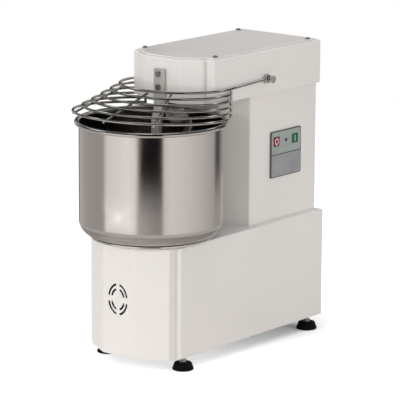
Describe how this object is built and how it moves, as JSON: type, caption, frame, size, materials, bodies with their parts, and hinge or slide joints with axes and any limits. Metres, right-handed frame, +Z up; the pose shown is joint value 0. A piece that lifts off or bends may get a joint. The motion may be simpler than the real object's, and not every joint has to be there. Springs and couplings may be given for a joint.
{
  "type": "spiral dough mixer",
  "caption": "Fixed-head spiral dough mixer: bow-fronted enamelled body, rotating stainless bowl, spiral hook, breaker bar, lifting wire guard, push-button panel, rubber feet.",
  "frame": {"origin": "centre of the bounding box on the floor, under the four rubber feet", "axes": "+Z up, -Y towards the bowl and the operator, +X towards the side with the control panel"},
  "size_m": [0.2866, 0.5354, 0.5546],
  "materials": {
    "white_enamel": "semi-gloss",
    "stainless_bowl": "polished",
    "stainless_wire": "polished",
    "stainless_bar": "satin",
    "screw_steel": "satin",
    "black_rubber": "matte",
    "belt_rubber": "matte",
    "dark_plastic": "matte",
    "panel_grey": "satin",
    "stop_red": "gloss",
    "start_green": "gloss",
    "lamp_dark": "gloss",
    "zinc_steel": "satin",
    "shaft_steel": "ground",
    "cast_housing": "machined",
    "motor_alloy": "cast",
    "cam_plastic": "matte"
  },
  "bodies": {
    "frame": {"base_casing": "white_enamel", "base_rear_cover": "white_enamel", "bearing_bridge": "zinc_steel", "bowl_bearing_housing": "cast_housing", "bowl_bearings": "shaft_steel", "bowl_belt": "belt_rubber", "breaker_bar": "stainless_bar", "breaker_bar_bolts": "screw_steel", "cable_gland": "dark_plastic", "chassis_plate": "zinc_steel", "column_casing": "white_enamel", "column_rear_cover": "white_enamel", "control_box": "dark_plastic", "control_panel": "panel_grey", "counter_low_bracket": "zinc_steel", "counter_top_bracket": "zinc_steel", "countershaft_bearings": "shaft_steel", "foot_studs": "screw_steel", "guard_bushes": "cam_plastic", "guard_microswitch": "dark_plastic", "head_casing": "white_enamel", "head_lid": "white_enamel", "head_underplate": "white_enamel", "lay_bearings": "shaft_steel", "lay_belt": "belt_rubber", "lid_screws": "screw_steel", "motor_bearing": "shaft_steel", "motor_belt": "belt_rubber", "motor_end_bell": "motor_alloy", "motor_housing": "motor_alloy", "motor_plate": "zinc_steel", "pilot_lamp": "lamp_dark", "rear_cover_screws": "screw_steel", "rubber_feet": "black_rubber", "switch_block": "dark_plastic", "tool_bearing_housing": "cast_housing", "tool_bearings": "shaft_steel", "tool_belt": "belt_rubber"},
    "bowl": {"bowl": "stainless_bowl", "bowl_flange": "stainless_bowl", "bowl_screws": "screw_steel", "bowl_shaft": "shaft_steel", "bowl_pulley": "cast_housing"},
    "lay_gear": {"lay_shaft": "shaft_steel", "lay_pulleys": "cast_housing"},
    "counter_gear": {"countershaft": "shaft_steel", "countershaft_low_pulley": "cast_housing", "countershaft_big_pulley": "cast_housing", "countershaft_top_pulley": "cast_housing"},
    "rotor": {"motor_rotor": "shaft_steel", "motor_pulley": "cast_housing", "motor_fan": "dark_plastic"},
    "spiral": {"spiral_hook": "stainless_bar", "tool_shaft": "stainless_bar", "tool_pulley": "cast_housing"},
    "guard": {"guard_frame": "stainless_wire", "guard_pivot_shafts": "stainless_wire", "guard_cam": "cam_plastic"},
    "stop": {"stop_button": "stop_red"},
    "start": {"start_button": "start_green"}
  },
  "joints": [
    {"name": "bowl_spin", "type": "hinge", "parent": "frame", "child": "bowl", "pos_m": [0, -0.1259, 0.303], "axis": [0, 0, 1], "continuous": true},
    {"name": "spiral_spin", "type": "hinge", "parent": "frame", "child": "spiral", "pos_m": [0, -0.0558, 0.403], "axis": [0, 0, 1], "continuous": true},
    {"name": "lay_spin", "type": "hinge", "parent": "frame", "child": "lay_gear", "pos_m": [0, -0.0123, 0.083], "axis": [0, 0, 1], "continuous": true},
    {"name": "counter_spin", "type": "hinge", "parent": "frame", "child": "counter_gear", "pos_m": [0, 0.0997, 0.303], "axis": [0, 0, 1], "continuous": true},
    {"name": "motor_spin", "type": "hinge", "parent": "frame", "child": "rotor", "pos_m": [0, 0.1897, 0.283], "axis": [0, 0, 1], "continuous": true},
    {"name": "guard_lift", "type": "hinge", "parent": "frame", "child": "guard", "pos_m": [0, 0.0817, 0.498], "axis": [-1, 0, 0], "range_deg": [0, 75]},
    {"name": "stop_press", "type": "slide", "parent": "frame", "child": "stop", "axis": [-1, 0, 0], "range_m": [0, 0.002], "stiffness_N_per_m": 500, "springref_m": -0.003},
    {"name": "start_press", "type": "slide", "parent": "frame", "child": "start", "axis": [-1, 0, 0], "range_m": [0, 0.002], "stiffness_N_per_m": 500, "springref_m": -0.003}
  ],
  "couplings": [
    {"joint": "lay_spin", "follows": "bowl_spin", "ratio": 5},
    {"joint": "counter_spin", "follows": "bowl_spin", "ratio": 22.5},
    {"joint": "spiral_spin", "follows": "bowl_spin", "ratio": 10.588},
    {"joint": "motor_spin", "follows": "bowl_spin", "ratio": 90}
  ]
}
